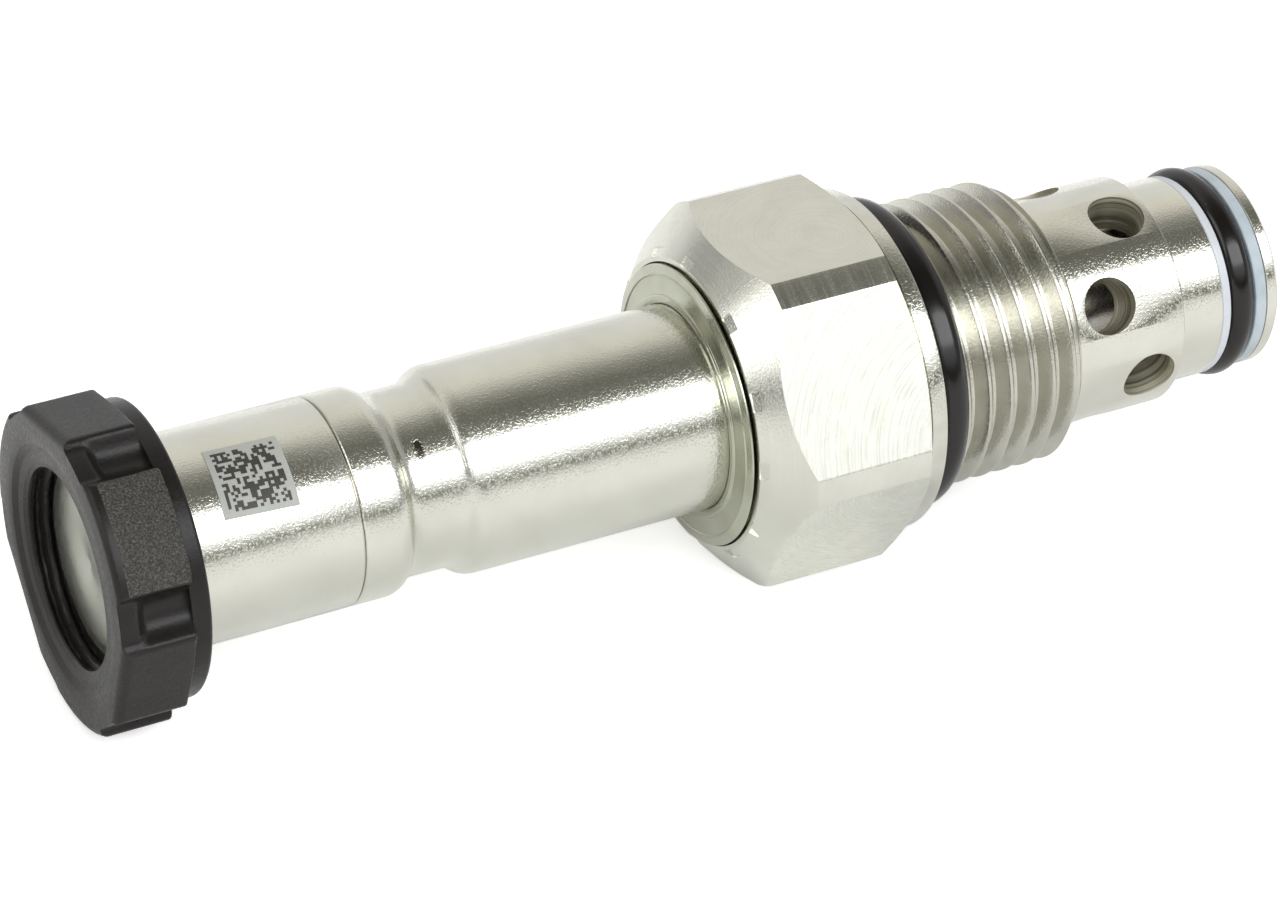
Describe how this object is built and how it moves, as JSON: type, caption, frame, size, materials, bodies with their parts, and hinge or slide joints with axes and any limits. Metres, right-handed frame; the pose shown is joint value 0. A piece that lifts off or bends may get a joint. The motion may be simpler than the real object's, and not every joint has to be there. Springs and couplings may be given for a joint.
{
  "type": "poppet cartridge valve",
  "caption": "Screw-in hydraulic poppet cartridge valve, solenoid pilot-operated, with ported cage, seals, rolled armature tube and coil nut; coil not fitted.",
  "frame": {"origin": "valve axis at the flange's seat face, which meets the block", "axes": "+X along the valve axis towards the nose, -Z square to the hexagon flat that faces down, +Y completes the right-handed frame"},
  "size_m": [0.0796, 0.0242, 0.0218],
  "materials": {
    "zinc_plated_steel": "clear zinc plating over milled and turned steel",
    "plated_cage": "bright plating over fine turning marks",
    "satin_steel": "satin stainless tube with fine rings",
    "turned_steel": "turned, matt plated end",
    "ground_steel": "hardened and ground",
    "spring_steel": "drawn wire",
    "brass_shim": "rolled sheet",
    "nitrile": "moulded, slightly oily",
    "backup_plastic": "translucent white-blue plastic",
    "black_nylon": "moulded, three grained pads and three smooth ones"
  },
  "bodies": {
    "housing": {"valve_body": "zinc_plated_steel", "body_seal_ring": "nitrile", "cage": "plated_cage", "backup_ring_inner": "backup_plastic", "nose_seal_ring": "nitrile", "backup_ring_outer": "backup_plastic", "guide_tube": "satin_steel", "tube_collar": "zinc_plated_steel", "collar_seal_ring": "nitrile", "pole_core": "turned_steel", "core_seal_ring": "nitrile", "shim_disc": "brass_shim", "armature_spring": "spring_steel"},
    "plunger": {"armature": "turned_steel", "pilot_stem": "ground_steel"},
    "poppet": {"main_poppet": "ground_steel", "pilot_seat": "ground_steel", "cross_pin": "ground_steel"},
    "nut_carrier": {"nut_seal_ring": "nitrile"},
    "nut": {"coil_nut": "black_nylon"}
  },
  "joints": [
    {"name": "armature_lift", "type": "slide", "parent": "housing", "child": "plunger", "axis": [-1, 0, 0], "range_m": [0, 0.0025], "stiffness_N_per_m": 800, "springref_m": -0.004, "deforming": ["armature_spring"]},
    {"name": "poppet_lift", "type": "slide", "parent": "housing", "child": "poppet", "axis": [-1, 0, 0], "range_m": [0, 0.002]},
    {"name": "nut_travel", "type": "slide", "parent": "housing", "child": "nut_carrier", "axis": [-1, 0, 0], "range_m": [0, 0.005]},
    {"name": "nut_turn", "type": "hinge", "parent": "nut_carrier", "child": "nut", "pos_m": [-0.05, 0, 0], "axis": [-1, 0, 0], "range_deg": [0, 1800]}
  ],
  "couplings": [
    {"joint": "poppet_lift", "follows": "armature_lift", "ratio": 0.8},
    {"joint": "nut_travel", "follows": "nut_turn", "m_per_rad": 0.00015915}
  ]
}
